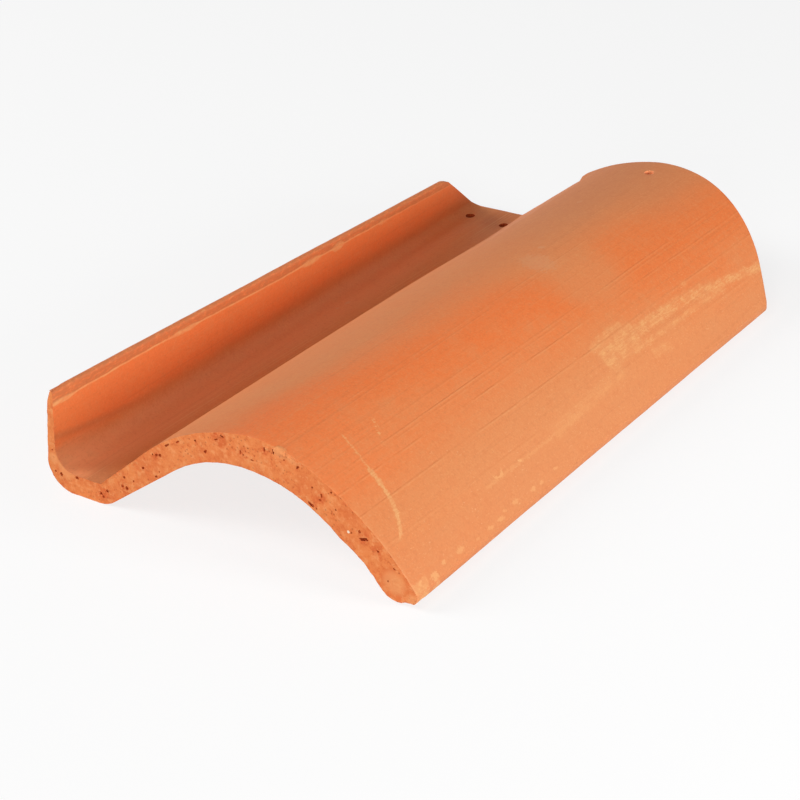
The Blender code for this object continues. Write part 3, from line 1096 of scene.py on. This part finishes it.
    def slice_along(self, axis: int, step: float) -> None:
        """Divides the mesh that is being edited with even, parallel planes.

        Args:
            axis: Number of the axis that the planes cross.
            step: Metres between the planes.
        """
        low, high = tile_box()
        length = high[axis] - low[axis]
        count = int(length / step)
        normal = Vector((0.0, 0.0, 0.0))
        normal[axis] = 1.0
        for index in range(count):
            centre = normal * (low[axis] + length * (index + 0.5) / count)
            bpy.ops.mesh.select_all(action="SELECT")
            bpy.ops.mesh.bisect(plane_co=centre, plane_no=normal, threshold=self.slice_merge)

    def slice_up(self) -> None:
        """Divides the faces so that the surface can be made uneven."""
        self.edit()
        for axis, step in enumerate(self.slices):
            self.slice_along(axis, step)
        bpy.ops.object.mode_set(mode="OBJECT")

    def slice_tail(self) -> None:
        """Divides the cut tail end finely, so that it can be made rough."""
        low, _ = tile_box()
        self.edit()
        bpy.ops.mesh.select_mode(type="FACE")
        bpy.ops.mesh.select_all(action="DESELECT")
        bpy.ops.object.mode_set(mode="OBJECT")
        for face in self.tile.data.polygons:
            face.select = face.normal.y < -0.9 and face.center.y < low.y + self.end_band
        bpy.ops.object.mode_set(mode="EDIT")
        bpy.ops.mesh.hide(unselected=True)
        for axis in (0, 2):
            self.slice_along(axis, self.fine_slice)
        bpy.ops.mesh.reveal(select=False)
        bpy.ops.object.mode_set(mode="OBJECT")

    def warp(self) -> None:
        """Presses the flank in and wears the tail corners of the foot and the rim."""
        low, _ = tile_box()
        for vertex in self.tile.data.vertices:
            place = (vertex.co - low) / MM
            vertex.co.x += self.rim_wear.at(place) * MM
            vertex.co.z += (self.foot_wear.at(place) - self.dent.at(place)) * MM

    def roughen(self) -> None:
        """Moves the surface slightly, as fired clay is never flat, and crumbles the cut tail end."""
        low, _ = tile_box()
        corners = [(vertex.co.copy(), vertex.normal.copy()) for vertex in self.tile.data.vertices]
        for vertex, (place, normal) in zip(self.tile.data.vertices, corners):
            move = sum(ripple.at(place) for ripple in self.swell)
            if place.y < low.y + self.touch:
                flat = Vector((place.x, low.y, place.z))
                vertex.co.y -= sum(ripple.at(flat) for ripple in self.torn)
                if place.y > low.y + self.rounding and normal.z > 0.2:
                    move -= max(0.0, self.chipped.at(place))
            if place.z < low.z + self.touch:
                move = 0.0
            vertex.co += normal * move

    def pebble(
        self, shake: tuple[random.Random, float], centre: Vector, sizes: Triple, turn: float
    ) -> bpy.types.Object:
        """Adds a small uneven ball.

        Args:
            shake: Source of the unevenness, and its share of the radius.
            centre: Middle of the ball.
            sizes: Its three radii in metres.
            turn: Degrees that its right end is raised.

        Returns:
            The ball.
        """
        bpy.ops.mesh.primitive_ico_sphere_add(subdivisions=2, radius=1.0, location=(0, 0, 0))
        ball = bpy.context.active_object
        chance, share = shake
        for vertex in ball.data.vertices:
            vertex.co *= 1.0 + chance.uniform(-share, share)
        raised = Euler((0.0, math.radians(-turn), 0.0)).to_matrix().to_4x4()
        ball.data.transform(Matrix.Translation(centre) @ raised @ Matrix.Diagonal((*sizes, 1.0)))
        return ball

    def boolean(self, item: bpy.types.Object, tool: bpy.types.Object, operation: str, own: bool) -> None:
        """Adds one object to another, or cuts it away.

        Args:
            item: The object that changes.
            tool: The object that is added or cut away.
            operation: The Boolean modifier's operation.
            own: Whether parts of the tool overlap each other.
        """
        modifier = item.modifiers.new("shape", "BOOLEAN")
        modifier.operation = operation
        modifier.solver = "EXACT"
        modifier.use_self = own
        modifier.material_mode = "TRANSFER"
        modifier.object = tool
        self.take(item)
        bpy.ops.object.modifier_apply(modifier=modifier.name)

    def combine(self, pieces: list[bpy.types.Object], operation: str) -> None:
        """Joins small pieces and adds them to the tile or cuts them from it.

        Args:
            pieces: The small pieces, which are used up.
            operation: The Boolean modifier's operation.
        """
        first, *rest = pieces
        self.take(rest[0])
        for piece in rest:
            piece.select_set(True)
        bpy.ops.object.join()
        joined = bpy.context.active_object
        self.boolean(first, joined, "UNION", True)
        self.boolean(self.tile, first, operation, False)
        for piece in (joined, first):
            bpy.data.objects.remove(piece)

    def add_crumbs(self) -> None:
        """Sets the lumps and curls that the wire left along the cut end's top edge."""
        shake = (random.Random(self.seed + 1), self.crumb_unevenness)
        pieces = []
        for crumb in self.crumbs:
            sizes = (crumb.wide * MM, crumb.rise * MM * 1.6, crumb.tall * MM)
            centre = tile_point(crumb.across, crumb.rise * 0.5, crumb.height)
            ball = self.pebble(shake, centre, sizes, crumb.turn)
            ball.data.materials.append(self.tile.data.materials[Side.CUT.slot])
            pieces.append(ball)
        self.combine(pieces, "UNION")

    def open_pores(self) -> None:
        """Opens the pores in the cut end."""
        shake = (random.Random(self.seed), self.pore_unevenness)
        pieces = []
        for pore in self.pores:
            size = pore.radius * MM
            sizes = (size * pore.stretch, size * 0.75 * pore.depth, size)
            centre = tile_point(pore.across, 0.0, pore.height)
            ball = self.pebble(shake, centre, sizes, pore.turn)
            # The pores' walls take the painted shade material.
            ball.data.materials.append(self.tile.data.materials[Side.PIT.slot])
            pieces.append(ball)
        self.combine(pieces, "DIFFERENCE")


@dataclass(frozen=True)
class Lamp:
    """One soft square lamp, aimed at the middle of the tile."""

    name: str
    turn: float
    rise: float
    distance: float
    size: float
    power: float

    def hang(self) -> None:
        """Puts the lamp in the scene."""
        light = bpy.data.lights.new(self.name, "AREA")
        light.energy = self.power
        light.size = self.size
        lamp = bpy.data.objects.new(self.name, light)
        bpy.context.scene.collection.objects.link(lamp)
        toward = direction(math.radians(self.turn), math.radians(self.rise))
        lamp.location = toward * self.distance
        lamp.rotation_euler = toward.to_track_quat("Z", "Y").to_euler()


@dataclass
class Studio:
    """White floor, soft lamps and the camera."""

    floor_size: float = 9.0
    floor_gap: float = 0.0001
    floor_grey: float = 0.80
    floor_lift: float = 0.72
    floor_glow: float = 1.09
    world_strength: float = 0.10
    seen_rays: tuple[str, ...] = ("Is Camera Ray", "Is Glossy Ray", "Is Transmission Ray")
    lamps: tuple[Lamp, ...] = (
        Lamp("key_lamp", 90.0, 17.0, 1.3, 0.33, 9.0),
        Lamp("front_low_lamp", 30.0, 15.0, 3.2, 1.2, 37.0),
        Lamp("front_top_lamp", 0.0, 55.0, 3.2, 1.2, 16.0),
        Lamp("left_lamp", -60.0, 35.0, 3.2, 1.4, 52.0),
    )
    lens: float = 104.892
    camera_turn: float = math.radians(39.134)
    camera_rise: float = math.radians(27.919)
    camera_roll: float = math.radians(-5.114)
    camera_place: Triple = (0.759138, -0.980347, 0.650670)

    def build(self) -> None:
        """Sets up the whole studio."""
        self.floor()
        self.world()
        for lamp in self.lamps:
            lamp.hang()
        self.camera()
        bpy.context.scene.view_settings.view_transform = "Standard"

    def floor(self) -> None:
        """Lays a plain white floor that keeps the tile's shadow."""
        low, _ = tile_box()
        bpy.ops.mesh.primitive_plane_add(size=self.floor_size, location=(0.0, 0.0, low.z - self.floor_gap))
        floor = bpy.context.active_object
        floor.name = "studio_floor"
        tree = ShaderTree(bpy.data.materials.new("floor_white"))
        grey = self.floor_grey
        diffuse = tree.node("ShaderNodeBsdfDiffuse", {"Color": (grey, grey, grey, 1.0)})
        glow = tree.node("ShaderNodeEmission", {"Color": WHITE, "Strength": self.floor_glow})
        share = self.seen(tree) * self.floor_lift
        mixed = tree.node("ShaderNodeMixShader", {0: share, 1: diffuse.outputs[0], 2: glow.outputs[0]})
        tree.links.new(mixed.outputs[0], tree.output.inputs[0])
        floor.data.materials.append(tree.owner)

    def seen(self, tree: ShaderTree) -> Socket:
        """Tells rays that show the surround from rays that light the tile."""
        path = tree.node("ShaderNodeLightPath")
        return strongest(Socket(tree, path.outputs[ray]) for ray in self.seen_rays)

    def world(self) -> None:
        """Sets an even white surround."""
        world = bpy.data.worlds.new("studio_air")
        bpy.context.scene.world = world
        tree = ShaderTree(world)
        share = self.seen(tree)
        strength = share + (1.0 - share) * self.world_strength
        air = tree.node("ShaderNodeBackground", {"Color": WHITE, "Strength": strength})
        tree.links.new(air.outputs[0], tree.output.inputs[0])

    def camera(self) -> None:
        """Places the camera."""
        data = bpy.data.cameras.new("camera")
        data.lens = self.lens
        camera = bpy.data.objects.new("camera", data)
        bpy.context.scene.collection.objects.link(camera)
        back = direction(self.camera_turn, self.camera_rise)
        right = Vector((0.0, 0.0, 1.0)).cross(back).normalized()
        level = Matrix((right, back.cross(right), back)).transposed()
        rolled = level @ Matrix.Rotation(self.camera_roll, 3, "Z")
        camera.matrix_world = Matrix.Translation(self.camera_place) @ rolled.to_4x4()
        bpy.context.scene.camera = camera


def main() -> None:
    """Builds the dressed tile and the studio."""
    logging.basicConfig(level=logging.INFO, format="%(name)s: %(message)s")
    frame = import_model()
    tile = RoofTile(frame["nodes"]["roof_tile"]).build()
    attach(tile, "root")
    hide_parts("roof_tile")
    LOG.info("%s: %d faces", tile.name, len(tile.data.polygons))
    Studio().build()


if __name__ == "__main__":
    main()
